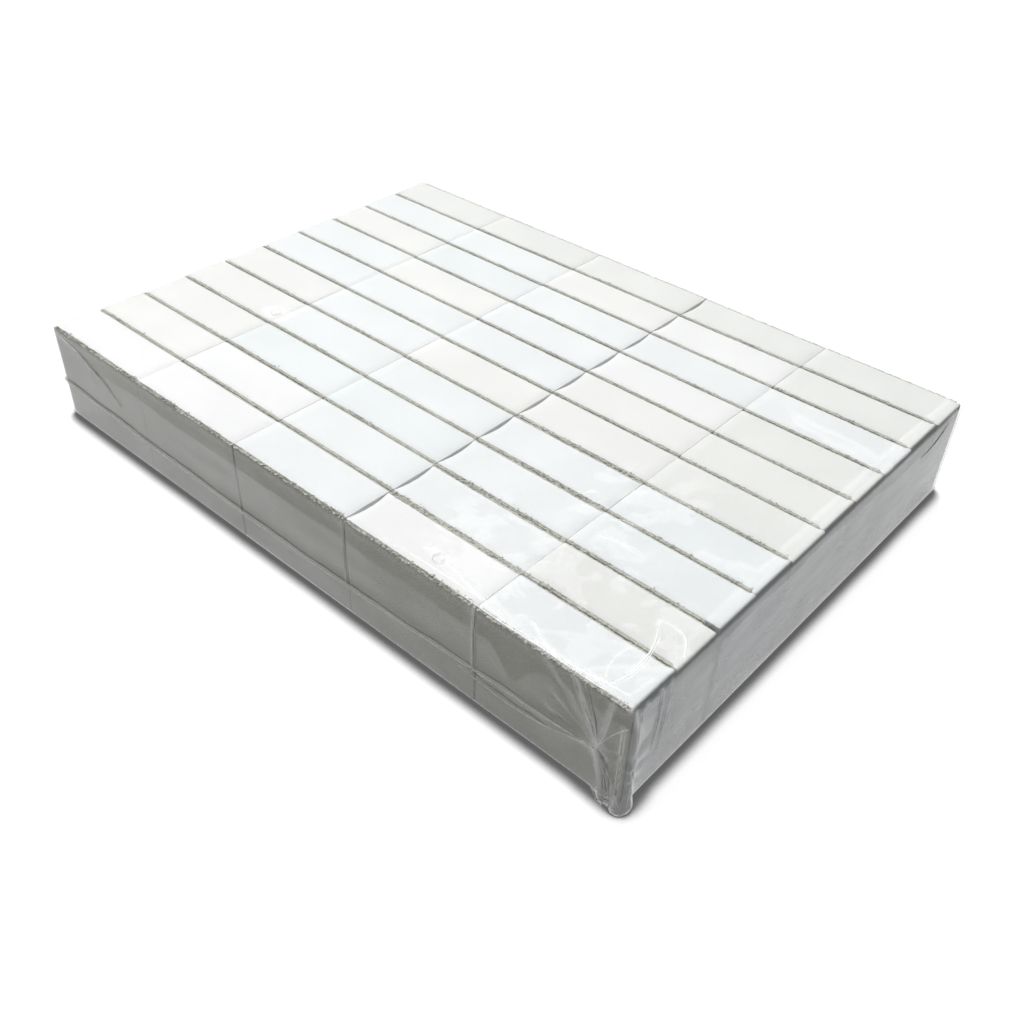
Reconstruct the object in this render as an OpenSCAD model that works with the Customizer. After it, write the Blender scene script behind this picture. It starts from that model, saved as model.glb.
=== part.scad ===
// Sealed pack of small nail buffer blocks.
// Each block is a foam core with an abrasive sheet glued on both wide faces.
// The blocks stand on a narrow edge, row beside row, inside one clear shrink film.
// X runs along the rows, Y across them and Z up. The origin is the middle of the base.

/* [Pack] */
// Rows of blocks, side by side across the pack
rows = 10; // [4:1:11]
// Blocks in each row, end to end along the pack
columns = 5; // [3:1:5]
// Gap between the ends of two blocks in a row
end_gap = 0.2; // [0.2:0.05:1]
// Gap between two rows
row_gap = 0.3; // [0.3:0.05:1]
// How far a block may sit off its place along the row
end_play = 0.08; // [0:0.01:0.09]
// How far a block may sit off its place across the row
side_play = 0.12; // [0:0.01:0.14]

/* [Block] */
// Length of a block, along the row
block_length = 34.8; // [20:0.1:60]
// Thickness of a block over both abrasive sheets
block_thickness = 12.2; // [8:0.1:25]
// Height of a block as it stands in the pack
block_height = 24.8; // [15:0.1:50]
// Thickness of one abrasive sheet
sheet_thickness = 0.55; // [0.2:0.05:1.5]
// Rounding of a foam end that meets another block
inner_end_radius = 0.3; // [0.1:0.1:1.5]
// Rounding of a foam end that the film pulls down
outer_end_radius = 1.4; // [0.1:0.1:5]
// Column whose blocks have a hollow cut end, facing the column before it
hollow_column = 4; // [2:1:5]
// Depth of that hollow end
hollow_depth = 0.75; // [0.2:0.05:2]

/* [Film] */
// Thickness of the film
film_thickness = 0.2; // [0.1:0.05:1]
// Gap between the blocks and the film's walls
film_gap = 0.3; // [0.2:0.05:1]
// Gap between the blocks and the film's top
top_gap = 0.1; // [0.05:0.05:1]
// Height of the weld seam above the base
seam_height = 8.6; // [3:0.1:12]
// How far the weld seam stands out of the film
seam_out = 0.4; // [0.2:0.1:1]
// Thickness of the weld seam, up and down
seam_thickness = 0.5; // [0.3:0.1:1.5]
// Diameter of a vent hole
vent_diameter = 2.4; // [1:0.1:4]

/* [Corner tucks] */
// How far a tuck reaches from the folded end, along the side
tuck_reach = 6; // [3:0.5:10]
// How far a tuck stands out of the film
tuck_out = 0.5; // [0.2:0.1:1]
// Distance from a tuck to the top and to the base
tuck_margin = 1; // [0.5:0.5:2.5]

/* [Hidden] */
$fn = 48;
// Overlap that makes two shapes one, or lets a cut run past a face
join = 0.05;
pitch_x = block_length + end_gap;
pitch_y = block_thickness + row_gap;
core_thickness = block_thickness - 2 * sheet_thickness;
array_length = columns * pitch_x - end_gap;
array_width = rows * pitch_y - row_gap;
cavity_length = array_length + 2 * film_gap;
cavity_width = array_width + 2 * film_gap;
cavity_height = block_height + top_gap;
film_length = cavity_length + 2 * film_thickness;
film_width = cavity_width + 2 * film_thickness;
film_height = cavity_height + 2 * film_thickness;
// The film bends round the upright edges in its own gap, so no block corner meets it
cavity_corner_radius = film_gap;
film_corner_radius = film_gap + film_thickness;
// The folded end has no seam, so the film sits half a seam towards it
film_shift = seam_out / 2;
// Radius of the circle that cuts a hollow end of that depth across the foam
hollow_radius = pow(core_thickness, 2) / (8 * hollow_depth) + hollow_depth / 2;
// Turns of the wave that sets each block slightly off its place
row_turn = 131;
column_turn = 47;
// Vents in the film's top: row and column of the block below, and the way from its middle
vent_places = [[1, columns - 1, [3.6, -1.5]], [4, 1, [15.4, -2.3]]];

function core_name(row, column) = str("foam_core_row", row, "_block", column);
// Middle of a column or a row, and how far one block sits off it
function column_x(column) =
    film_shift + (block_length - array_length) / 2 + (column - 1) * pitch_x;
function row_y(row) = (block_thickness - array_width) / 2 + (row - 1) * pitch_y;
function off_place(turn_a, turn_b, play) =
    play * sin(turn_a * row_turn + turn_b * column_turn);
function block_x(row, column) = column_x(column) + off_place(row, column, end_play);
function block_y(row, column) = row_y(row) + off_place(column, row, side_play);

// A rectangle whose corners have one radius at its left end and another at its right
module block_outline(left_radius, right_radius) {
    inner_length = block_length - left_radius - right_radius;
    translate([left_radius - block_length / 2, 0])
        square([inner_length, block_height]);
    for (end = [[-1, left_radius], [1, right_radius]]) {
        radius = end[1];
        middle_x = end[0] * (block_length / 2 - radius);
        translate([middle_x - radius, radius])
            square([2 * radius, block_height - 2 * radius]);
        for (middle_z = [radius, block_height - radius])
            translate([middle_x, middle_z])
                circle(r = radius);
    }
}

// A foam core, cut hollow at its left end where it stands in the hollow column
module foam_core(row, column) {
    left_radius = column == 1 ? outer_end_radius : inner_end_radius;
    right_radius = column == columns ? outer_end_radius : inner_end_radius;
    color("whitesmoke")
        translate([block_x(row, column), block_y(row, column), film_thickness])
            difference() {
                rotate([90, 0, 0])
                    linear_extrude(core_thickness, center = true)
                        block_outline(left_radius, right_radius);
                if (column == hollow_column)
                    translate([hollow_depth - hollow_radius - block_length / 2, 0, -join])
                        cylinder(h = block_height + 2 * join, r = hollow_radius, $fn = 96);
            }
}

// One abrasive sheet on each block, on the side that faces the given way
module grit_sheets(side) {
    middle_y = side * (core_thickness + sheet_thickness) / 2;
    for (row = [1:rows], column = [1:columns])
        translate([block_x(row, column), block_y(row, column) + middle_y, film_thickness])
            translate([-block_length / 2, -sheet_thickness / 2, 0])
                cube([block_length, sheet_thickness, block_height]);
}

module coarse_grit_sheets() {
    color("darkgray")
        grit_sheets(-1);
}

module fine_grit_sheets() {
    color("silver")
        grit_sheets(1);
}

// A rectangle with round corners, centred
module rounded_rectangle(length, width, radius) {
    square([length - 2 * radius, width], center = true);
    square([length, width - 2 * radius], center = true);
    for (x = [-1, 1], y = [-1, 1])
        translate([x * (length / 2 - radius), y * (width / 2 - radius)])
            circle(r = radius);
}

// The seam runs round both long sides and one end, and stops at the folded end
module weld_seam() {
    translate([0, 0, seam_height - seam_thickness / 2])
        linear_extrude(seam_thickness)
            translate([-seam_out / 2, 0])
                rounded_rectangle(
                    film_length + seam_out,
                    film_width + 2 * seam_out,
                    film_corner_radius + seam_out
                );
}

// Gathered film on a long side, where the seam meets the folded end
module corner_tuck(side) {
    edge_x = film_length / 2 - film_corner_radius;
    middle_y = side * (film_width + tuck_out - join) / 2;
    translate([0, middle_y, 0])
        rotate([90, 0, 0])
            linear_extrude(tuck_out + join, center = true)
                polygon([
                    [edge_x - tuck_reach, seam_height],
                    [edge_x, tuck_margin],
                    [edge_x, film_height - tuck_margin]
                ]);
}

module film_cavity() {
    translate([0, 0, film_thickness])
        linear_extrude(cavity_height)
            rounded_rectangle(cavity_length, cavity_width, cavity_corner_radius);
}

module vents() {
    under_top = film_thickness + block_height;
    for (place = vent_places) {
        middle = [column_x(place[1]) - film_shift, row_y(place[0])] + place[2];
        translate([middle[0], middle[1], under_top])
            cylinder(h = film_height - under_top + join, d = vent_diameter);
    }
}

// The film is one closed piece, with its weld seam and its gathered corners
module shrink_film() {
    color("aliceblue", 0.35)
        translate([film_shift, 0, 0])
            difference() {
                union() {
                    linear_extrude(film_height)
                        rounded_rectangle(film_length, film_width, film_corner_radius);
                    weld_seam();
                    corner_tuck(-1);
                    corner_tuck(1);
                }
                film_cavity();
                vents();
            }
}

for (row = [1:rows], column = [1:columns])
    foam_core(row, column);
coarse_grit_sheets();
fine_grit_sheets();
shrink_film();
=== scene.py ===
import math
import random

import bmesh
import bpy
import numpy as np
from mathutils import Euler, Matrix, Vector, noise


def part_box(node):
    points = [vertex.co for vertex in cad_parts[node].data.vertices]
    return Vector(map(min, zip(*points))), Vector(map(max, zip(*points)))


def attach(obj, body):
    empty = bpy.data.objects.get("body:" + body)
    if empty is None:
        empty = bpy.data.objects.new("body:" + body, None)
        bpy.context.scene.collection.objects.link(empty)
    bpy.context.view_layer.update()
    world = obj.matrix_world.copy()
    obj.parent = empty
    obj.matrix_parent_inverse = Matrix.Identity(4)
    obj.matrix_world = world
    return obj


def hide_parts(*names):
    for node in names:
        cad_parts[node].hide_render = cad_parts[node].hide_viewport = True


mm = 0.001
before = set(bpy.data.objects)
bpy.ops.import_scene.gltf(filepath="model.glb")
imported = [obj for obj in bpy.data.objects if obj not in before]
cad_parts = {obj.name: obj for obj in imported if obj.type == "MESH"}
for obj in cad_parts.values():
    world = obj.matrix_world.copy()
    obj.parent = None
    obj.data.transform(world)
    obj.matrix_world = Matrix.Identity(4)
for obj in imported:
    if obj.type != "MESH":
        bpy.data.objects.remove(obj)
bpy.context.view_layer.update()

rowCount = 10
columnCount = 5
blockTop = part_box("coarse_grit_sheets")[1].z  # the film lies just above this
filmLow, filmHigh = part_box("shrink_film")


def smoothStep(value, start, end):
    share = np.clip((value - start) / (end - start), 0.0, 1.0)
    return share * share * (3 - 2 * share)


def hump(value, middle, width):
    return np.exp(-((value - middle) / width) ** 2)


def boxMatrix(low, high):
    size = high - low
    return Matrix.Translation((low + high) / 2) @ Matrix.Diagonal((size.x, size.y, size.z, 1))


def edgesAlong(bm, axis, share=0.98):
    found = []
    for edge in bm.edges:
        line = edge.verts[1].co - edge.verts[0].co
        if line.length > 0 and abs(line[axis]) / line.length > share:
            found.append(edge)
    return found


def cutAlong(bm, axis, cuts):
    bmesh.ops.subdivide_edges(bm, edges=edgesAlong(bm, axis), cuts=cuts, use_grid_fill=True)


def cutAcross(bm, spot, facing):
    bmesh.ops.bisect_plane(bm, geom=bm.verts[:] + bm.edges[:] + bm.faces[:], plane_co=spot, plane_no=facing)


def roundEdges(bm, edges, radius, segments):
    bmesh.ops.bevel(bm, geom=edges, offset=radius, offset_type="OFFSET", segments=segments,
                    profile=0.5, affect="EDGES", clamp_overlap=True, material=-1)


def sharpEdges(bm, degrees=50):
    return [e for e in bm.edges if len(e.link_faces) == 2 and e.calc_face_angle(0) > math.radians(degrees)]


def bmeshPiece(bm, name, material, smooth=True):
    bmesh.ops.recalc_face_normals(bm, faces=bm.faces)
    mesh = bpy.data.meshes.new(name)
    bm.to_mesh(mesh)
    bm.free()
    mesh.materials.append(material)
    mesh.polygons.foreach_set("use_smooth", [smooth] * len(mesh.polygons))
    piece = bpy.data.objects.new(name, mesh)
    bpy.context.scene.collection.objects.link(piece)
    return piece


def standFor(piece, slotName, *nodes):
    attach(piece, "root")
    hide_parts(*nodes)
    return piece


cameraView = {
    "spot": (0.1465, -0.1640, 0.1608),
    "right": (0.7448, 0.6665, 0.0312),
    "forward": (-0.5001, 0.5886, -0.6351),
    "lens": 38.34,
}


def makeCamera():
    forward = Vector(cameraView["forward"]).normalized()
    right = Vector(cameraView["right"]).normalized()
    up = right.cross(forward).normalized()
    right = forward.cross(up)
    turn = Matrix((right, up, -forward)).transposed().to_4x4()
    data = bpy.data.cameras.new("packCamera")
    data.lens = cameraView["lens"]
    data.sensor_width = 36.0
    data.clip_start = 0.01
    camera = bpy.data.objects.new("packCamera", data)
    camera.matrix_world = Matrix.Translation(cameraView["spot"]) @ turn
    bpy.context.scene.collection.objects.link(camera)
    bpy.context.scene.camera = camera


lightSetup = [
    {"name": "overheadSoftbox", "spot": (-0.48, 0.34, 1.10), "aim": (0, 0, 0), "size": 0.66,
     "watts": 19.0, "reflected": False},
    {"name": "backLeftWindow", "spot": (-0.716, 0.635, 1.041), "aim": (0, 0, 0.02), "size": 0.14,
     "watts": 0.13, "reflected": True},
    {"name": "frontLeftFill", "spot": (-0.58, -0.52, 0.28), "aim": (0, 0, 0.01), "size": 0.4,
     "watts": 2.2, "reflected": False},
]
# strength of the room's light, and how bright it is in a mirror
roomLook = {"tint": (0.95, 0.97, 1.0), "light": 0.085, "mirrored": 0.42}


def makeLights():
    for each in lightSetup:
        data = bpy.data.lights.new(each["name"], "AREA")
        data.energy = each["watts"]
        data.size = each["size"]
        lamp = bpy.data.objects.new(each["name"], data)
        aim = Vector(each["aim"]) - Vector(each["spot"])
        turn = aim.to_track_quat("-Z", "Y").to_matrix().to_4x4()
        lamp.matrix_world = Matrix.Translation(each["spot"]) @ turn
        lamp.visible_glossy = each["reflected"]
        bpy.context.scene.collection.objects.link(lamp)
    world = bpy.data.worlds.new("paleRoom")
    world.use_nodes = True
    tree = world.node_tree
    path = tree.nodes.new("ShaderNodeLightPath")
    tint = addMix(tree, path.outputs["Is Camera Ray"], roomLook["tint"], (1.0, 1.0, 1.0))
    dull = roomLook["light"]
    seen = addMath(tree, "MULTIPLY_ADD", path.outputs["Is Camera Ray"], 1 - dull, dull)
    mirrored = roomLook["mirrored"] - dull
    seen = addMath(tree, "MULTIPLY_ADD", path.outputs["Is Glossy Ray"], mirrored, seen)
    tree.links.new(tint, tree.nodes["Background"].inputs["Color"])
    tree.links.new(seen, tree.nodes["Background"].inputs["Strength"])
    bpy.context.scene.world = world
    bpy.context.scene.view_settings.view_transform = "Standard"


floorLook = {
    "contact": 5.0 * mm, "contactShade": 0.12, "openHollow": (0.573, 0.9),
    "lit": 0.10, "glow": 0.10, "mirroredGlow": 0.67,
    "seenLit": 0.35, "seenGlow": 0.95,
}


def makeFloor():
    material = bpy.data.materials.new("paleFloor")
    material.use_nodes = True
    tree = material.node_tree
    tree.nodes.remove(tree.nodes["Principled BSDF"])
    path = tree.nodes.new("ShaderNodeLightPath")
    # painted contact shadow: ambient occlusion darkens the floor close to the pack
    hollow = tree.nodes.new("ShaderNodeAmbientOcclusion")
    hollow.inputs["Distance"].default_value = floorLook["contact"]
    low, high = floorLook["openHollow"]
    shade = addRange(tree, hollow.outputs["AO"], low, high, floorLook["contactShade"], 1.0)
    # bright where it's seen, duller where it throws light back onto the pack
    seenLit = addMath(tree, "MULTIPLY_ADD", shade, floorLook["seenLit"], -floorLook["lit"])
    litPart = addMath(tree, "MULTIPLY_ADD", path.outputs["Is Camera Ray"], seenLit, floorLook["lit"])
    seenGlow = addMath(tree, "MULTIPLY_ADD", shade, floorLook["seenGlow"], -floorLook["glow"])
    glowPart = addMath(tree, "MULTIPLY_ADD", path.outputs["Is Camera Ray"], seenGlow, floorLook["glow"])
    mirrored = floorLook["mirroredGlow"] - floorLook["glow"]
    glowPart = addMath(tree, "MULTIPLY_ADD", path.outputs["Is Glossy Ray"], mirrored, glowPart)
    lit = tree.nodes.new("ShaderNodeBsdfDiffuse")
    tree.links.new(litPart, lit.inputs["Color"])
    glow = tree.nodes.new("ShaderNodeEmission")
    tree.links.new(glowPart, glow.inputs["Strength"])
    both = tree.nodes.new("ShaderNodeAddShader")
    tree.links.new(lit.outputs[0], both.inputs[0])
    tree.links.new(glow.outputs[0], both.inputs[1])
    tree.links.new(both.outputs[0], tree.nodes["Material Output"].inputs["Surface"])
    bm = bmesh.new()
    bmesh.ops.create_grid(bm, x_segments=1, y_segments=1, size=6.0)
    floor = bmeshPiece(bm, "paleFloorPlane", material, smooth=False)
    floor.data.transform(Matrix.Translation((0, 0, -0.00002)))


def nodeGroup(name, inputs, outputs):
    tree = bpy.data.node_groups.new(name, "ShaderNodeTree")
    for label, kind, value in inputs:
        socket = tree.interface.new_socket(label, in_out="INPUT", socket_type=kind)
        if value is not None:
            socket.default_value = value
    for label, kind in outputs:
        tree.interface.new_socket(label, in_out="OUTPUT", socket_type=kind)
    return tree, tree.nodes.new("NodeGroupInput"), tree.nodes.new("NodeGroupOutput")


def addNoise(tree, vector, scale, detail, roughness=0.5):
    node = tree.nodes.new("ShaderNodeTexNoise")
    node.inputs["Scale"].default_value = scale
    node.inputs["Detail"].default_value = detail
    node.inputs["Roughness"].default_value = roughness
    tree.links.new(vector, node.inputs["Vector"])
    return node.outputs["Fac"]


def addRange(tree, value, fromLow, fromHigh, toLow, toHigh, kind="SMOOTHSTEP"):
    node = tree.nodes.new("ShaderNodeMapRange")
    node.interpolation_type = kind
    limits = {"From Min": fromLow, "From Max": fromHigh, "To Min": toLow, "To Max": toHigh}
    for label, number in limits.items():
        socket = node.inputs[label]
        if isinstance(number, (int, float)):
            socket.default_value = number
        else:
            tree.links.new(number, socket)
    tree.links.new(value, node.inputs["Value"])
    return node.outputs["Result"]


def addMath(tree, operation, first, second=None, third=None, clamp=False):
    node = tree.nodes.new("ShaderNodeMath")
    node.operation = operation
    node.use_clamp = clamp
    for index, value in enumerate((first, second, third)):
        if value is None:
            continue
        if isinstance(value, (int, float)):
            node.inputs[index].default_value = value
        else:
            tree.links.new(value, node.inputs[index])
    return node.outputs[0]


def addMix(tree, share, first, second, blend="MIX"):
    node = tree.nodes.new("ShaderNodeMix")
    node.data_type = "RGBA"
    node.blend_type = blend
    for socket, value in ((node.inputs[0], share), (node.inputs[6], first), (node.inputs[7], second)):
        if isinstance(value, (int, float)):
            socket.default_value = value
        elif isinstance(value, tuple):
            socket.default_value = value + (1,) if len(value) == 3 else value
        else:
            tree.links.new(value, socket)
    return node.outputs[2]


def makeMottleGroup():
    # slow, soft change of shade: foam from different sheets, smudges on grit, haze on film
    tree, start, end = nodeGroup(
        "softMottle",
        [("Vector", "NodeSocketVector", None), ("Scale", "NodeSocketFloat", 60.0),
         ("Low", "NodeSocketFloat", 0.9), ("High", "NodeSocketFloat", 1.0)],
        [("Shade", "NodeSocketFloat")])
    mottle = tree.nodes.new("ShaderNodeTexNoise")
    mottle.inputs["Detail"].default_value = 3.0
    tree.links.new(start.outputs["Vector"], mottle.inputs["Vector"])
    tree.links.new(start.outputs["Scale"], mottle.inputs["Scale"])
    shade = addRange(tree, mottle.outputs["Fac"], 0.32, 0.68, start.outputs["Low"], start.outputs["High"])
    tree.links.new(shade, end.inputs["Shade"])
    return tree


def makePoreGroup():
    # closed-cell foam cut with a blade: fine cells and faint saw lines, with painted shade darkening the
    # pits of the cells a little
    tree, start, end = nodeGroup(
        "foamCells",
        [("Vector", "NodeSocketVector", None), ("Cell Scale", "NodeSocketFloat", 3200.0)],
        [("Height", "NodeSocketFloat"), ("Shade", "NodeSocketFloat")])
    cells = tree.nodes.new("ShaderNodeTexVoronoi")
    cells.feature = "SMOOTH_F1"
    tree.links.new(start.outputs["Vector"], cells.inputs["Vector"])
    tree.links.new(start.outputs["Cell Scale"], cells.inputs["Scale"])
    fine = addNoise(tree, start.outputs["Vector"], 5200.0, 2.0)
    height = addMath(tree, "MULTIPLY_ADD", fine, 0.5, cells.outputs["Distance"])
    shade = addRange(tree, height, 0.35, 1.1, 0.965, 1.0)
    tree.links.new(height, end.inputs["Height"])
    tree.links.new(shade, end.inputs["Shade"])
    return tree


def makeGritGroup():
    # abrasive grains standing in glue
    tree, start, end = nodeGroup(
        "gritGrains",
        [("Vector", "NodeSocketVector", None), ("Grain Scale", "NodeSocketFloat", 4000.0)],
        [("Height", "NodeSocketFloat"), ("Grain", "NodeSocketFloat")])
    grains = tree.nodes.new("ShaderNodeTexVoronoi")
    grains.feature = "F1"
    tree.links.new(start.outputs["Vector"], grains.inputs["Vector"])
    tree.links.new(start.outputs["Grain Scale"], grains.inputs["Scale"])
    sharp = addRange(tree, grains.outputs["Distance"], 0.1, 0.7, 1.0, 0.0)
    pick = tree.nodes.new("ShaderNodeSeparateColor")
    tree.links.new(grains.outputs["Color"], pick.inputs[0])
    tree.links.new(addMath(tree, "MULTIPLY", sharp, pick.outputs[0]), end.inputs["Height"])
    tree.links.new(pick.outputs[1], end.inputs["Grain"])
    return tree


def placeGroup(tree, group, **values):
    node = tree.nodes.new("ShaderNodeGroup")
    node.node_tree = group
    for label, value in values.items():
        socket = node.inputs[label.replace("_", " ")]
        if isinstance(value, (int, float)):
            socket.default_value = value
        else:
            tree.links.new(value, socket)
    return node.outputs


def startMaterial(name):
    material = bpy.data.materials.new(name)
    material.use_nodes = True
    tree = material.node_tree
    spot = tree.nodes.new("ShaderNodeTexCoord").outputs["Object"]
    return material, tree, tree.nodes["Principled BSDF"], spot


def addBump(tree, shader, height, strength, distance):
    bump = tree.nodes.new("ShaderNodeBump")
    bump.inputs["Strength"].default_value = strength
    bump.inputs["Distance"].default_value = distance
    tree.links.new(height, bump.inputs["Height"])
    tree.links.new(bump.outputs["Normal"], shader.inputs["Normal"])


def makeFoamMaterial(groups):
    material, tree, shader, spot = startMaterial("whiteFoam")
    tint = tree.nodes.new("ShaderNodeAttribute")
    tint.attribute_type = "OBJECT"
    tint.attribute_name = "foamTint"
    mottle = placeGroup(tree, groups["mottle"], Vector=spot, Scale=55.0, Low=0.965, High=1.0)["Shade"]
    cells = placeGroup(tree, groups["pores"], Vector=spot)
    shade = addMath(tree, "MULTIPLY", mottle, cells["Shade"])
    colour = addMix(tree, 1.0, tint.outputs["Color"], shade, "MULTIPLY")
    tree.links.new(colour, shader.inputs["Base Color"])
    rough = addRange(tree, mottle, 0.965, 1.0, 0.78, 0.9)
    tree.links.new(rough, shader.inputs["Roughness"])
    shader.inputs["Specular IOR Level"].default_value = 0.25
    addBump(tree, shader, cells["Height"], 0.25, 0.00006)
    return material


# the near side shows the sheets' faces: Y where that changes to inside, and how far below the sheets' top
# the paper edge's foot and top lie, first on the near side and then inside
gritEdge = {
    "near": -61.6 * mm, "inside": -61.2 * mm, "nearShade": 0.95,
    "foot": (3.4 * mm, 0.55 * mm), "top": (1.1 * mm, 0.2 * mm),
}


def makeGritMaterial(groups, name, look):
    material, tree, shader, spot = startMaterial(name)
    grains = placeGroup(tree, groups["grit"], Vector=spot, Grain_Scale=look["grainScale"])
    mottle = placeGroup(
        tree, groups["mottle"], Vector=spot, Scale=70.0, Low=look["smudge"], High=1.0)["Shade"]
    speck = addRange(tree, grains["Grain"], 0.0, 1.0, 0.0, 1.0)
    colour = addMix(tree, speck, look["dark"], look["pale"])
    apart = tree.nodes.new("ShaderNodeSeparateXYZ")
    tree.links.new(spot, apart.inputs[0])
    across = (apart.outputs["Y"], gritEdge["near"], gritEdge["inside"])
    edgeFoot = addRange(tree, *across, *(blockTop - down for down in gritEdge["foot"]))
    edgeTop = addRange(tree, *across, *(blockTop - down for down in gritEdge["top"]))
    paperEdge = addRange(tree, apart.outputs["Z"], edgeFoot, edgeTop, 0.0, 1.0)
    inside = addRange(tree, *across, gritEdge["nearShade"], 1.0)
    paperEdge = addMath(tree, "MULTIPLY", paperEdge, inside)
    flecks = addMix(tree, addRange(tree, speck, 0.15, 0.4, 0.0, 1.0), look["fleck"], look["edge"])
    colour = addMix(tree, paperEdge, colour, flecks)
    colour = addMix(tree, 1.0, colour, mottle, "MULTIPLY")
    tree.links.new(colour, shader.inputs["Base Color"])
    tree.links.new(addRange(tree, speck, 0.0, 1.0, 0.75, 0.95), shader.inputs["Roughness"])
    shader.inputs["Specular IOR Level"].default_value = 0.3
    addBump(tree, shader, grains["Height"], 0.6, 0.00012)
    return material


filmLook = {"tint": (0.96, 0.965, 0.98), "bareReflection": 0.04}


def filmAlpha(tree, amount):
    facing = tree.nodes.new("ShaderNodeLayerWeight")
    facing.inputs["Blend"].default_value = 0.5
    gloss = addMath(tree, "POWER", facing.outputs["Facing"], 5.0)
    gloss = addMath(tree, "MULTIPLY_ADD", gloss, 0.9, filmLook["bareReflection"])
    return addMath(tree, "ADD", amount, gloss, clamp=True)


def makeFilmMaterial(groups):
    # clear film: a thin mirror-like gloss, and a faint veil where it clings to the blocks or is stretched;
    # the veil also carries painted sheen and leaves gaps of painted shade, and painted glare turns the top
    # white
    material, tree, shader, spot = startMaterial("clearFilm")
    hazeAndSheen = tree.nodes.new("ShaderNodeAttribute")
    hazeAndSheen.attribute_name = "filmHazeAndSheen"
    stretch = tree.nodes.new("ShaderNodeMapping")
    stretch.inputs["Scale"].default_value = (0.3, 0.3, 1.3)
    tree.links.new(spot, stretch.inputs["Vector"])
    smudge = placeGroup(
        tree, groups["mottle"], Vector=stretch.outputs[0], Scale=190.0, Low=0.62, High=1.04)["Shade"]
    glare = tree.nodes.new("ShaderNodeAttribute")
    glare.attribute_name = "filmGlare"
    amount = addMath(tree, "MULTIPLY_ADD", hazeAndSheen.outputs["Fac"], smudge, glare.outputs["Fac"])
    tree.links.new(filmAlpha(tree, amount), shader.inputs["Alpha"])
    shader.inputs["Base Color"].default_value = filmLook["tint"] + (1,)
    # where glare is painted, the film turns white and matte instead of mirror-like
    tree.links.new(addRange(tree, glare.outputs["Fac"], 0.0, 0.015, 1.0, 0.0), shader.inputs["Metallic"])
    shader.inputs["Coat Weight"].default_value = 1.0
    shader.inputs["Coat Roughness"].default_value = 0.08
    tree.links.new(addRange(tree, amount, 0.0, 0.2, 0.08, 0.42), shader.inputs["Roughness"])
    addBump(tree, shader, addNoise(tree, spot, 420.0, 2.0), 0.06, 0.0004)
    return material


def makeFoldMaterial(groups):
    # several layers of film pressed together: whitish and glossy; the whiteness is also a painted highlight
    # for the creases' glints
    material, tree, shader, spot = startMaterial("foldedFilm")
    thick = placeGroup(tree, groups["mottle"], Vector=spot, Scale=260.0, Low=0.45, High=1.0)["Shade"]
    hazeAndSheen = tree.nodes.new("ShaderNodeAttribute")
    hazeAndSheen.attribute_name = "filmHazeAndSheen"
    amount = addMath(tree, "MULTIPLY", hazeAndSheen.outputs["Fac"], thick, clamp=True)
    tree.links.new(amount, shader.inputs["Alpha"])
    shader.inputs["Base Color"].default_value = (0.97, 0.98, 0.98, 1)
    tree.links.new(addRange(tree, thick, 0.45, 1.0, 0.15, 0.35), shader.inputs["Roughness"])
    shader.inputs["Coat Weight"].default_value = 0.4
    shader.inputs["Coat Roughness"].default_value = 0.06
    return material


coarseLook = {
    "grainScale": 3600.0, "smudge": 0.88,
    "dark": (0.405, 0.40, 0.335), "pale": (0.475, 0.47, 0.40),
    "edge": (0.60, 0.595, 0.53), "fleck": (0.42, 0.415, 0.36),
}
fineLook = {
    "grainScale": 5200.0, "smudge": 0.92,
    "dark": (0.46, 0.46, 0.43), "pale": (0.54, 0.54, 0.51),
    "edge": (0.62, 0.62, 0.56), "fleck": (0.45, 0.45, 0.40),
}


def makeMaterials():
    groups = {"mottle": makeMottleGroup(), "pores": makePoreGroup(), "grit": makeGritGroup()}
    return {
        "foam": makeFoamMaterial(groups),
        "coarse": makeGritMaterial(groups, "coarseGrit", coarseLook),
        "fine": makeGritMaterial(groups, "fineGrit", fineLook),
        "film": makeFilmMaterial(groups),
        "fold": makeFoldMaterial(groups),
    }


coreShape = {
    "cutsLong": 13, "cutsWide": 7,
    "edgeRound": 0.12 * mm, "outerRound": 0.6 * mm, "stagger": 0.22 * mm,
    "staggerLength": 4 * mm,
    "hollowColumn": 4, "hollowDepth": 0.75 * mm,
    # the cut foam swells over the sheets' edges, and most at the pack's ends
    "lipOverCoarse": 0.03 * mm, "lipOverFine": 0.18 * mm, "lipOverEnd": 0.62 * mm,
    "lipHeight": 0.22 * mm, "lipLength": 1.0 * mm,
    "endSwell": 0.09 * mm,
    "wave": 0.07 * mm,
}

# w white, c cool, b bluish, y creamy, g greyish beige, from the first column to the last
foamTints = {
    1: "wwcwc", 2: "ywccg", 3: "ybbcb", 4: "ycccb", 5: "ycyyg",
    6: "cccyg", 7: "cycwg", 8: "ybccc", 9: "ccywg", 10: "ggggg",
}
tintColours = {
    "w": (0.915, 0.92, 0.91), "c": (0.885, 0.905, 0.90), "b": (0.86, 0.89, 0.89),
    "y": (0.895, 0.90, 0.875), "g": (0.85, 0.86, 0.83),
}


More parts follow.
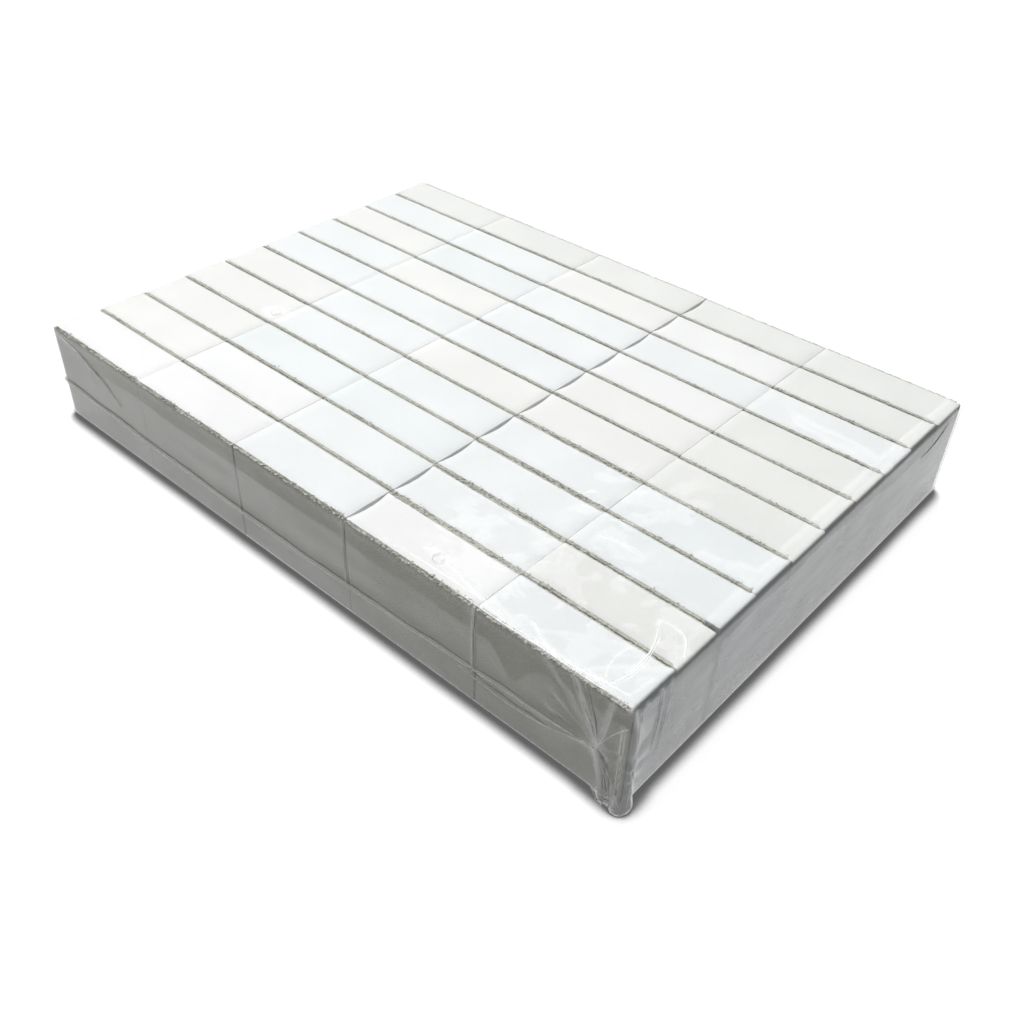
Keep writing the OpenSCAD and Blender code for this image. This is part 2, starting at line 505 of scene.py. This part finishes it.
def makeFoamCore(row, column, material):
    node = f"foam_core_row{row}_block{column}"
    low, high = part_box(node)
    bm = bmesh.new()
    bmesh.ops.create_cube(bm, size=1.0, matrix=boxMatrix(low, high))
    middle = (low + high) / 2
    half = (high - low) / 2
    outer = {1: low.x, columnCount: high.x}.get(column)
    if outer is not None:
        endEdges = [e for e in edgesAlong(bm, 1) if abs(e.verts[0].co.x - outer) < 1e-6]
        roundEdges(bm, endEdges, coreShape["outerRound"], 5)
    roundEdges(bm, sharpEdges(bm), coreShape["edgeRound"], 2)
    cutAlong(bm, 0, coreShape["cutsLong"])
    cutAlong(bm, 1, coreShape["cutsWide"])
    lipHeight = coreShape["lipHeight"]
    lipLength = coreShape["lipLength"]
    for share in (1.0, 1.5):
        cutAcross(bm, (0, 0, high.z - lipHeight * share), (0, 0, 1))
        if outer is not None:
            inward = math.copysign(lipLength * share, middle.x - outer)
            cutAcross(bm, (outer + inward, 0, 0), (1, 0, 0))
    bareSheets = column == coreShape["hollowColumn"] and row <= 4
    for vert in bm.verts:
        side = (vert.co.y - middle.y) / half.y
        reach = (vert.co.x - middle.x) / half.x
        wobble = noise.noise(Vector((vert.co.x * 160, vert.co.y * 900, row * 7.3 + column)))
        over = coreShape["lipOverCoarse" if side < 0 else "lipOverFine"]
        openJoint = column == columnCount and row == (3 if side < 0 else 2)
        if (row == 1 and side < 0) or (row == rowCount and side > 0):
            over = 0.02 * mm
        elif outer is not None and abs(vert.co.x - outer) < lipLength * 1.05:
            over = coreShape["lipOverEnd"] * (0.2 if openJoint else 1.0)
        elif vert.co.z < high.z - lipHeight * 1.05 or bareSheets:
            over = 0.02 * mm
        vert.co.y += side * over + side * wobble * coreShape["wave"]
        if column == coreShape["hollowColumn"] and reach < -0.9:
            vert.co.x += coreShape["hollowDepth"] * max(0.0, 1 - side * side)
        elif outer is None or reach * (outer - middle.x) < 0:
            vert.co.x += reach ** 9 * coreShape["endSwell"]
        if outer is not None:
            pull = max(0.0, 1 - abs(vert.co.x - outer) / coreShape["staggerLength"])
            shift = coreShape["stagger"] * pull * (1 + math.sin(row * 2.4 + column))
            vert.co.x -= math.copysign(shift, reach)
    piece = bmeshPiece(bm, f"foamCoreRow{row}Block{column}", material)
    piece["foamTint"] = tintColours[foamTints[row][column - 1]]
    standFor(piece, "foam", node)
    return piece


sheetShape = {
    "thickness": 0.55 * mm, "cutsLong": 88,
    "ragged": 0.12 * mm, "ends": 0.9 * mm,
    "outGrow": 0.09 * mm, "endBack": 0.9 * mm, "openBack": 3.0 * mm, "lowered": 0.12 * mm,
    "jointBack": 0.12 * mm, "raggedDepth": 0.4 * mm,
    "crumbs": 52, "crumbSize": (0.06 * mm, 0.19 * mm), "crumbShift": 0.16 * mm,
}


def addSheet(bm, low, high, column, rough, dice):
    part = bmesh.new()
    bmesh.ops.create_cube(part, size=1.0, matrix=boxMatrix(low, high))
    outer = {1: low.x, columnCount: high.x}.get(column)
    if outer is not None:
        endEdges = [e for e in edgesAlong(part, 1) if abs(e.verts[0].co.x - outer) < 1e-6]
        roundEdges(part, endEdges, sheetShape["ends"], 3)
    cutAlong(part, 0, sheetShape["cutsLong"])
    cutAcross(part, (0, 0, high.z - sheetShape["raggedDepth"]), (0, 0, 1))
    ragged = sheetShape["ragged"] * rough
    for vert in part.verts:
        if vert.co.z > high.z - 0.02 * mm:
            vert.co.z -= dice.random() * ragged * 1.5
            vert.co.y += dice.uniform(-1, 1) * ragged
    spare = bpy.data.meshes.new("spare")
    part.to_mesh(spare)
    part.free()
    bm.from_mesh(spare)
    bpy.data.meshes.remove(spare)


def addCrumbs(bm, low, high, count, dice):
    small, large = sheetShape["crumbSize"]
    heaps = [dice.uniform(low.x + 2 * mm, high.x - 2 * mm) for _ in range(5)]  # crumbs lie in heaps
    for _ in range(count):
        radius = dice.uniform(small, large)
        x = dice.gauss(dice.choice(heaps), 3.2 * mm)
        spot = Vector((min(max(x, low.x + mm), high.x - mm),
                       dice.gauss((low.y + high.y) / 2 + sheetShape["crumbShift"], 0.24 * mm),
                       high.z + 0.02 * mm))
        turn = Euler([dice.uniform(0, 6.28) for _ in range(3)]).to_matrix().to_4x4()
        squash = Matrix.Diagonal((dice.uniform(0.7, 1.5), 1.0, 0.6, 1))
        bmesh.ops.create_icosphere(bm, subdivisions=1, radius=radius,
                                   matrix=Matrix.Translation(spot) @ squash @ turn)


def makeSheets(kind, side, nodeName, material):
    dice = random.Random(17 + side)
    thick = side * (sheetShape["thickness"] + sheetShape["outGrow"])
    back = sheetShape["endBack"]
    for row in range(1, rowCount + 1):
        bm = bmesh.new()
        for column in range(1, columnCount + 1):
            coreLow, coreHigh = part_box(f"foam_core_row{row}_block{column}")
            edge = coreLow.y if side < 0 else coreHigh.y
            bare = column == coreShape["hollowColumn"] and row <= 4
            down = 0 if side < 0 or bare else sheetShape["lowered"]
            low = Vector((coreLow.x + back * (column == 1), min(edge, edge + thick), coreLow.z))
            right = coreHigh.x - back * (column == columnCount)
            high = Vector((right, max(edge, edge + thick), coreHigh.z - down))
            if column == columnCount and row == (3 if side < 0 else 2):
                high.x = coreHigh.x - sheetShape["openBack"]
            if side < 0 and row == 1:
                low.x = coreLow.x + sheetShape["jointBack"] * (column > 1)
                high.x = coreHigh.x - sheetShape["jointBack"] * (column < columnCount)
            addSheet(bm, low, high, column, 2.6 if row == 1 and side < 0 else 1.3 if bare else 0.9, dice)
            if down == 0:
                addCrumbs(bm, low, high, sheetShape["crumbs"] * (3 if row == 1 else 2 if bare else 1), dice)
        piece = bmeshPiece(bm, f"{kind}SheetsRow{row}", material, smooth=False)
        standFor(piece, "coarse_grit" if side < 0 else "fine_grit", nodeName)


filmShape = {
    "thickness": 0.06 * mm, "edgeRound": 0.9 * mm,
    "coarseStep": 2.2 * mm, "fineStep": 0.5 * mm, "sideStep": 0.62 * mm,
    "cornerX": 50 * mm, "cornerY": -34 * mm,
    "topRipple": 0.05 * mm, "sideRipple": 0.16 * mm,
    "seamOut": 0.22 * mm, "seamWidth": 0.35 * mm,
    "foldFrom": 84 * mm,  # the folded end and its corners
    "gridSeam": 8.6 * mm,  # height of the grid line that is carried to the seam
    "veilLong": 0.12, "veilEnd": 0.16, "shadeBandWave": 1.2 * mm,
    # film over the front edge: a low tent along it, and fine crinkles towards the corner
    "tentLift": 0.2 * mm, "crinkle": 0.12 * mm,
}
# height of the weld seam at both ends of a long side, how far it sags between them, and its line in mm
seamShape = {
    "seamedEnd": 10.5 * mm, "foldedEnd": 12 * mm, "sag": 3.4 * mm,
    "lineWidth": 0.40, "lineY": 63.32,
}
filmWallY = 62.85 * mm
filmEndX = 88.1 * mm
filmFarX = -87.7 * mm


def seamHeight(x):
    share = np.clip((x - filmFarX) / (filmEndX - filmFarX), 0, 1)
    level = seamShape["seamedEnd"] + (seamShape["foldedEnd"] - seamShape["seamedEnd"]) * share
    return level - seamShape["sag"] * np.sin(math.pi * share)


def stopsFor(low, high, fineLow, fineHigh, coarse, fine):
    r = filmShape["edgeRound"]
    lead = [low + r * t for t in (0, 0.12, 0.35, 0.65)]
    tail = [high - r * t for t in (0.65, 0.35, 0.12, 0)]
    stops = [low + r]
    while stops[-1] < high - r:
        step = fine if fineLow <= stops[-1] < fineHigh else coarse
        stops.append(stops[-1] + step)
    stops = np.array(stops)
    stops = low + r + (stops - low - r) * ((high - r) - (low + r)) / (stops[-1] - low - r)
    return np.array(lead + list(stops) + tail)


def noiseField(points, scale, seed):
    spots = points * scale + np.array([seed, 0, 0])
    return np.array([noise.noise(Vector(spot)) for spot in spots])


def longShadeBandHeight(x):
    # lower edge of the painted dark band of shade and reflection under the top edge: narrow at the seamed
    # end, and one deep dip before the front corner, painted as a fold's shadow
    height = 20 * mm + 4 * mm * (1 - smoothStep(x, -88 * mm, -66 * mm))
    height = height + 1 * mm * smoothStep(x, 66 * mm, 75 * mm)
    return height - 7 * mm * hump(x, 62 * mm, 3.5 * mm)


def endShadeBandHeight(y):
    # lower edge of the painted dark band of shade under the top edge of the folded end
    height = 22.5 * mm + 1.5 * mm * (1 - smoothStep(y, -63 * mm, -35 * mm))
    return height - 2 * mm * hump(y, 32 * mm, 14 * mm)


# joints on the folded end that the film bridges: place in mm, and how much of the veil is missing
openJoints = [(-37.5, 0.95), (-50, 0.4)]
# where the creases on the near side meet, and the upright joints that the film bridges, in mm
knot = (82, 12)
nearJoints = [17.5, 52.5]
# soft bright streaks: painted glare and sheen on top, and on the sides pale strips where the film is drawn
# tight, brightened as painted sheen: from, to, width and strength, in mm on each face
filmSheenStreaks = {
    "top": [
        ((58, 31), (92, 26), 1.4, 0.13), ((72, -24), (88, -20), 0.9, 0.16),
        ((51, -49), (62, -45), 1.1, 0.07), ((57, -31), (69, -33), 0.9, 0.10),
        ((34, -57), (62, -61), 1.0, 0.14), ((52, -62), (90, -62), 0.7, 0.22),
        ((66, -58), (84, -50), 1.2, 0.08), ((85, -50), (85, 70), 0.9, 0.12),
        ((-57, -22), (-51, -20), 1.4, 0.30), ((50, -21), (66, -11), 1.5, 0.07),
        ((75, -62), (88, -50), 0.9, 0.14),
    ],
    "near": (
        [((x, 25), knot, 0.7, strength) for x, strength in ((69, 0.10), (76, 0.22), (84, 0.16))]
        + [((x, 11), (x + 3, 1), 0.6, 0.20) for x in (81, 84)]
        + [((x, 25), (x, 9), 0.6, 0.20) for x in nearJoints]
        + [((87, 21), (87, 2), 0.6, 0.24)]
        + [((-85, 24), (-72, 20), 1.0, 0.24), ((-72, 20), (-61, 14), 0.8, 0.20)]
    ),
    "end": (
        [((y, 25), (y, 9), 0.6, glow) for y, glow in ((-62, 0.30), (-59, 0.14), (-55, 0.18), (-52, 0.14))]
        + [((58, 25), (43, 20), 0.6, 0.20)]
    ),
}


# faint cloudy patches of painted sheen on the top: middle, size and strength in mm
filmSheenClouds = [(60, -54, 15, 0.07), (56, -20, 12, 0.05), (80, -48, 8, 0.08), (42, -46, 10, 0.04)]


def segmentDistance(x, y, start, end):
    run = np.array(end) - np.array(start)
    share = np.clip(((x - start[0]) * run[0] + (y - start[1]) * run[1]) / (run @ run), 0, 1)
    return np.hypot(x - start[0] - share * run[0], y - start[1] - share * run[1])


def lensGlow(x, y, start, end, width):
    # a streak that is broadest at its middle and fades out towards both ends
    run = np.array(end) - np.array(start)
    length = math.hypot(*run)
    share = ((x - start[0]) * run[0] + (y - start[1]) * run[1]) / length ** 2
    across = ((y - start[1]) * run[0] - (x - start[0]) * run[1]) / length
    taper = np.clip(1 - (2 * share - 1) ** 2, 0, 1)
    return taper * np.exp(-(across / (width * (0.35 + 0.65 * taper))) ** 2)


gatherSpot = {"x": knot[0] * mm, "z": knot[1] * mm}


def gatherCorner(points, outward, side):
    # surplus film at a folded corner: pleats run out from the end of the seam and round the upright edge
    onEnd = outward[:, 0] > 0.7
    along = np.where(onEnd, filmEndX + (filmWallY - side * points[:, 1]), points[:, 0])
    a = along - gatherSpot["x"]
    b = points[:, 2] - gatherSpot["z"]
    reach = np.hypot(a, b)
    turn = np.arctan2(b, a)
    near = ((outward[:, 1] * side > 0.3) | onEnd) & (side * points[:, 1] > 52 * mm)
    pleats = np.abs(np.sin(turn * 4.5 + 2.0 * np.sin(turn * 2 + 1))) ** 1.5 * (1.0 if side < 0 else 0.15)
    fade = smoothStep(reach, 0.8 * mm, 3 * mm) * (1 - smoothStep(reach, 8 * mm, 16 * mm))
    push = 0.45 * mm * pleats * fade
    push += 0.5 * mm * hump(reach, 0, 2.5 * mm)
    foot = smoothStep(along, 81 * mm, 85 * mm) * (1 - smoothStep(along, 88.5 * mm, 91.5 * mm))
    rumple = 0.8 + 0.2 * np.sin(along * 2100 + points[:, 2] * 700)
    size = 1.5 * mm if side < 0 else 0.2 * mm
    push += size * rumple * foot * (1 - smoothStep(points[:, 2], 0.2 * mm, 7 * mm)) ** 2
    upright = hump(along, 88.6 * mm, 1.6 * mm)
    push += (0.9 if side < 0 else 0.0) * mm * upright * (1 - smoothStep(points[:, 2], 18 * mm, 25 * mm))
    push *= 1.0 if side < 0 else 0.4
    return np.where(near & (points[:, 2] < 24.6 * mm), push, 0.0)


# haze per point: the film's veil and the creases' whiteness, together with painted sheen and glints and gaps
# for painted shade
def setHazeAndSheen(piece, values):
    hazeAndSheen = piece.data.attributes.new("filmHazeAndSheen", "FLOAT", "POINT")
    hazeAndSheen.data.foreach_set("value", np.broadcast_to(values, len(piece.data.vertices)).astype(np.float32))


def filmGrid():
    # a box cut into a grid and rounded at its edges: the mesh, its points, and the way out at each of them
    shape = filmShape
    low = Vector((filmFarX, -filmWallY, filmLow.z))
    high = Vector((filmEndX, filmWallY, filmHigh.z))
    stops = [
        stopsFor(low.x, high.x, shape["cornerX"], high.x, shape["coarseStep"], shape["fineStep"]),
        stopsFor(low.y, high.y, low.y, shape["cornerY"], shape["coarseStep"], shape["fineStep"]),
        stopsFor(low.z, high.z, 0, 0, shape["sideStep"], shape["sideStep"]),
    ]
    bm = bmesh.new()
    bmesh.ops.create_cube(bm, size=1.0)
    for axis in range(3):
        cutAlong(bm, axis, len(stops[axis]) - 2)
    base = [f for f in bm.faces if all(v.co.z < -0.4999 for v in f.verts)
            and max(max(abs(v.co.x), abs(v.co.y)) for v in f.verts) < 0.47]
    bmesh.ops.dissolve_faces(bm, faces=base)
    bm.verts.ensure_lookup_table()
    raw = np.array([v.co for v in bm.verts])
    points = np.empty_like(raw)
    for axis in range(3):
        index = np.rint((raw[:, axis] + 0.5) * (len(stops[axis]) - 1)).astype(int)
        points[:, axis] = stops[axis][index]
    r = shape["edgeRound"]
    inner = np.clip(points, np.array(low) + r, np.array(high) - r)
    outward = points - inner
    outward /= np.linalg.norm(outward, axis=1)[:, None]
    return bm, inner + outward * r, outward


def filmPush(points, outward, onSide, onTop, pinch):
    # how far each point stands out: ripples, the pinch of the seam, the gathered corners and the front edge
    shape = filmShape
    x, y, z = points.T
    ripple = noiseField(points, 85.0, 3.1) + 0.5 * noiseField(points, 230.0, 8.7)
    clear = smoothStep(z, 0.3 * mm, 3 * mm) * (1 - smoothStep(z, 22 * mm, 24.8 * mm))
    clear *= 1 - 0.8 * hump(np.abs(x), 88 * mm, 5 * mm) * hump(np.abs(y), 63 * mm, 5 * mm)
    push = np.where(onSide, shape["sideRipple"] * ripple * clear, 0.0)
    push += np.where(onTop, shape["topRipple"] * ripple, 0.0)
    push += shape["seamOut"] * pinch
    push += gatherCorner(points, outward, -1) + gatherCorner(points, outward, 1)
    tent = smoothStep(x, 26 * mm, 44 * mm) * (1 - smoothStep(x, 80 * mm, 86 * mm))
    lift = shape["tentLift"] * tent * hump(y, -60.4 * mm, 1.3 * mm)
    crinkled = smoothStep(x, 66 * mm, 78 * mm) * smoothStep(-y, 58 * mm, 62 * mm) * (z > 20 * mm)
    crinkle = shape["crinkle"] * crinkled * noiseField(points, 900.0, 5.5)
    push += np.where(onTop, lift + crinkle, 0.0) + np.where(onSide, crinkle, 0.0)
    return push


def filmVeilAndShade(points, height, seam, onSide, onLong):
    # whitish where the film clings to the blocks; left clear for painted shade: a dark band of shade and
    # reflection under the top edge, a shade stripe above the seam, and a fall-off that darkens the long
    # sides towards the folded end; on the folded end the veil thins towards the bottom
    shape = filmShape
    x, y = points.T[:2]
    shadeBand = np.where(onLong, longShadeBandHeight(x), endShadeBandHeight(y))
    shadeBand += shape["shadeBandWave"] * noiseField(points, 60.0, 1.9)
    veil = smoothStep(shadeBand - height, -0.25 * mm, 0.5 * mm)
    shadeStripe = hump(height, seam + 1.7 * mm, 1.3 * mm) * smoothStep(x, -60 * mm, -15 * mm)
    veil = veil * (1 - 0.75 * np.where(onLong, shadeStripe, 0.0))
    shadeFalloff = np.interp(x / mm, [-88, -50, 0, 45, 75], [0.7, 0.85, 0.85, 0.5, 0.3])
    veil = veil * np.where(onLong, shadeFalloff, 1.0)
    endVeil = shape["veilEnd"] * (0.55 + 0.45 * smoothStep(height, 0, 9 * mm))
    strength = np.where(onLong, shape["veilLong"], endVeil)
    for place, depth in openJoints:
        veil = veil * (1 - depth * np.where(onLong, 0.0, hump(y, place * mm, 0.7 * mm)))
    return np.where(onSide, strength * veil, 0.0)


def filmGlare(points, onTop):
    # painted glare and sheen on top: thin white wispy streaks and faint clouds
    x, y = points.T[:2] / mm
    puffs = noiseField(points, 210.0, 6.3) + 0.5 * noiseField(points, 520.0, 2.7)
    wisps = 0.75 + 0.5 * puffs
    glare = np.zeros(len(points))
    for start, end, width, strength in filmSheenStreaks["top"]:
        glow = strength * wisps * lensGlow(x, y, start, end, width)
        glare = np.maximum(glare, np.where(onTop, glow, 0.0))
    for middleX, middleY, size, strength in filmSheenClouds:
        cloud = hump(np.hypot(x - middleX, y - middleY), 0, size)
        glare = np.maximum(glare, np.where(onTop, strength * cloud * smoothStep(puffs, 0.0, 0.4), 0.0))
    return glare


def makeFilm(material):
    shape = filmShape
    bm, points, outward = filmGrid()
    x, y, z = points.T
    onSide = np.hypot(outward[:, 0], outward[:, 1]) > 0.6
    onTop = outward[:, 2] > 0.7
    folded = x > shape["foldFrom"]
    seam = np.where(np.abs(y) > 60 * mm, seamHeight(x), seamShape["seamedEnd"])
    gridSeam = shape["gridSeam"]
    carry = smoothStep(z, 1 * mm, gridSeam) * (1 - smoothStep(z, gridSeam, 22 * mm))
    height = np.where(onSide, z + (seam - gridSeam) * carry, z)
    points[:, 2] = height
    pinch = np.where(onSide & ~folded, hump(height, seam, shape["seamWidth"]), 0.0)
    points += outward * filmPush(points, outward, onSide, onTop, pinch)[:, None]
    points[:, 2] = np.maximum(points[:, 2], 0.0)
    for vert, spot in zip(bm.verts, points):
        vert.co = spot
    film = bmeshPiece(bm, "shrinkFilm", material)
    onLong = onSide & (np.abs(y) > 61.5 * mm)
    amount = filmVeilAndShade(points, height, seam, onSide, onLong) + 0.05 * pinch
    # pale strips on the sides, brightened with painted sheen
    sides = [("near", x, onLong & (y < 0)), ("end", y, onSide & folded)]
    for face, along, where in sides:
        for start, end, width, strength in filmSheenStreaks[face]:
            away = segmentDistance(along / mm, height / mm, start, end)
            amount = np.maximum(amount, np.where(where, strength * hump(away, 0, width), 0.0))
    fromKnot = np.hypot(x - gatherSpot["x"], height - gatherSpot["z"])
    amount += np.where(onLong, 0.12 * hump(fromKnot, 0, 2.5 * mm), 0.0)
    glare = film.data.attributes.new("filmGlare", "FLOAT", "POINT")
    glare.data.foreach_set("value", filmGlare(points, onTop).astype(np.float32))
    setHazeAndSheen(film, amount)
    shell = film.modifiers.new("filmThickness", "SOLIDIFY")
    shell.thickness = shape["thickness"]
    shell.offset = -1
    standFor(film, "film", "shrink_film")
    print(f"film: {len(film.data.polygons)} faces before its thickness")
    return film


def onFace(face, a, b, lift=0.0):
    return {
        "near": Vector((a * mm, -filmWallY - lift * mm, b * mm)),
        "end": Vector((filmEndX + lift * mm, a * mm, b * mm)),
        "top": Vector((a * mm, b * mm, filmHigh.z + lift * mm)),
    }[face]


def makeLines(name, lines, material, whiteness, flatness=1.0):
    # each line: face, width in mm, lift in mm, then its points in mm, on that face or, without one, in space
    curve = bpy.data.curves.new(name, "CURVE")
    curve.dimensions = "3D"
    curve.bevel_depth = 1.0
    curve.bevel_resolution = 1
    curve.resolution_u = 5
    curve.use_fill_caps = True
    for face, width, lift, path in lines:
        spots = [onFace(face, p[0], p[1], lift) if face else Vector(p) * mm for p in path]
        spline = curve.splines.new("NURBS")
        spline.points.add(len(spots) - 1)
        spline.use_endpoint_u = True
        spline.order_u = 3
        for index, (point, spot) in enumerate(zip(spline.points, spots)):
            share = index / (len(spots) - 1)
            point.co = (*spot, 1)
            point.radius = width * mm / 2 * (0.35 + 0.65 * math.sin(math.pi * share))
    holder = bpy.data.objects.new(name + "Path", curve)
    bpy.context.scene.collection.objects.link(holder)
    bpy.context.view_layer.update()
    mesh = bpy.data.meshes.new_from_object(holder.evaluated_get(bpy.context.evaluated_depsgraph_get()))
    bpy.data.objects.remove(holder)
    bm = bmesh.new()
    bm.from_mesh(mesh)
    bmesh.ops.remove_doubles(bm, verts=bm.verts, dist=1e-7)
    bpy.data.meshes.remove(mesh)
    bmesh.ops.scale(bm, vec=(1, 1, flatness), space=Matrix.Translation((0, 0, -filmHigh.z)), verts=bm.verts)
    piece = bmeshPiece(bm, name, material)
    setHazeAndSheen(piece, whiteness)
    piece.visible_shadow = False  # creases this thin only glint
    standFor(piece, "film", "shrink_film")
    return piece


seamPath = (
    [(x, -seamShape["lineY"], float(seamHeight(x * mm)) / mm) for x in range(82, -88, -6)]
    + [(-88.2 + 0.2 * (abs(y) > 60), y, seamShape["seamedEnd"] / mm) for y in (-62.8, -40, 0, 40, 62.8)]
    + [(x, seamShape["lineY"], float(seamHeight(x * mm)) / mm) for x in range(-86, 84, 6)]
)


def crease(face, width, lift, start, end, bow=0.0):
    # a shallow arc from start to end on a face, bowed to its left by this share of its length
    run = np.array(end, float) - np.array(start, float)
    left = np.array([-run[1], run[0]])
    path = []
    for t in (0, 0.25, 0.5, 0.75, 1):
        path.append(tuple(np.array(start) + run * t + left * bow * 4 * t * (1 - t)))
    return face, width, lift, path


nearFolds = (
    [crease("near", 0.26, 0.2, (x, 25), knot, 0.04) for x in (75, 78, 84)]
    + [crease("near", 0.24, 0.7, knot, (x, 1), 0.06) for x in (84, 85, 86, 88)]
    + [crease("near", 0.26, 0.2, (x, 25), (x, 8)) for x in nearJoints]
    + [
        crease("near", 0.30, 0.35, (49, 8), knot, -0.08),
        crease("near", 0.26, 0.35, (63, 10), knot, -0.03),
        crease("near", 0.30, 0.4, (88, 22), knot, -0.05),
        crease("near", 0.26, 0.9, (87, 21), (87, 1)),
        crease("near", 0.30, 0.15, (-86, 24), (-61, 14), 0.07),
        crease("near", 0.24, 0.15, (-75, 20), (-65, 17), 0.05),
    ]
)
endFolds = [
    crease("end", 0.36, 1.0, (-62.5, 25), (-62.5, 1), 0.02),
    crease("end", 0.24, 0.3, (-61, 25), (-61, 5), 0.03),
    crease("end", 0.24, 0.15, (-55, 25), (-56, 10), 0.03),
    crease("end", 0.20, 0.15, (-53, 25), (-54, 8), 0.03),
    crease("end", 0.28, 0.15, (57, 25), (43, 20), 0.10),
]
# width, start, end and bow of each crease on top: a loop over the folded end of the first two rows, creases
# that gather along the near edge, and three short ones further in
topCreases = [
    (0.36, (81, -60), (78, -42), -0.14), (0.32, (78, -42), (87, -48), 0.25),
    (0.22, (82, -60), (81, -46), -0.08), (0.22, (80, -60), (79, -50), 0.15),
    (0.22, (85, -60), (86, -53), 0), (0.42, (36, -56), (84, -62), -0.05),
    (0.30, (47, -62), (81, -61), -0.02), (0.32, (62, -58), (76, -62), -0.06),
    (0.26, (66, -61), (81, -60), -0.04), (0.26, (72, -62), (86, -60), 0.04),
    (0.22, (45, -26), (48, -21), 0.10), (0.22, (56, -32), (64, -31), 0.10),
    (0.20, (54, -27), (60, -25), 0.10),
]
topFolds = [crease("top", width, 0.05, start, end, bow) for width, start, end, bow in topCreases]

ventSpots = [(38.8, -57.75), (-54.4, -21.05)]
ventShape = {"radius": 1.2 * mm, "rim": 0.13 * mm, "around": 28, "across": 6, "whiteness": 0.3}


def footCrinklesAndGlints():
    # short bright creases in the bunched film at the foot of the front corner, their whiteness a painted
    # glint
    dice = random.Random(5)
    lines = []
    for _ in range(10):
        spot = [dice.uniform(83.2, 87.2), dice.uniform(-64.8, -64.2), dice.uniform(0.6, 3.2)]
        path = [tuple(spot)]
        for _ in range(3):
            spot = [spot[0] + dice.uniform(-1.0, 1.0), spot[1] + dice.uniform(-0.2, 0.2),
                    max(0.2, spot[2] + dice.uniform(-0.9, 0.9))]
            path.append(tuple(spot))
        lines.append((None, dice.uniform(0.18, 0.3), 0, path))
    return lines


def makeVentRims(material):
    bm = bmesh.new()
    for x, y in ventSpots:
        ring = bmesh.ops.create_circle(bm, segments=ventShape["across"], radius=ventShape["rim"])["verts"]
        middle = Vector((x * mm, y * mm, filmHigh.z + 0.02 * mm))
        rimMiddle = middle + Vector((ventShape["radius"], 0, 0))
        stand = Matrix.Translation(rimMiddle) @ Matrix.Rotation(math.pi / 2, 4, "X")
        bmesh.ops.transform(bm, matrix=stand, verts=ring)
        edges = list({e for v in ring for e in v.link_edges})
        bmesh.ops.spin(bm, geom=ring + edges, cent=middle, axis=(0, 0, 1), angle=2 * math.pi,
                       steps=ventShape["around"], use_merge=True)
    bmesh.ops.remove_doubles(bm, verts=bm.verts, dist=1e-7)
    piece = bmeshPiece(bm, "ventRims", material)
    setHazeAndSheen(piece, ventShape["whiteness"])
    standFor(piece, "film", "shrink_film")
    return piece


makeCamera()
makeLights()
makeFloor()
print("stage: camera, lights and floor")
finishes = makeMaterials()
for row in range(1, rowCount + 1):
    for column in range(1, columnCount + 1):
        makeFoamCore(row, column, finishes["foam"])
print("stage: foam cores")
makeSheets("coarse", -1, "coarse_grit_sheets", finishes["coarse"])
makeSheets("fine", 1, "fine_grit_sheets", finishes["fine"])
print("stage: abrasive sheets")
film = makeFilm(finishes["film"])
trims = [
    # the whiteness of each set is partly a painted highlight standing in for glints on the seam and creases
    makeLines("weldSeam", [(None, seamShape["lineWidth"], 0, seamPath)], finishes["fold"], 1.4),
    makeLines("nearSideFolds", nearFolds, finishes["fold"], 1.1),
    makeLines("foldedEndFolds", endFolds, finishes["fold"], 0.7),
    makeLines("topFolds", topFolds, finishes["fold"], 1.2, 0.2),
    makeLines("footCrinklesAndGlints", footCrinklesAndGlints(), finishes["fold"], 1.2),
    makeVentRims(finishes["fold"]),
]
print("stage: film")
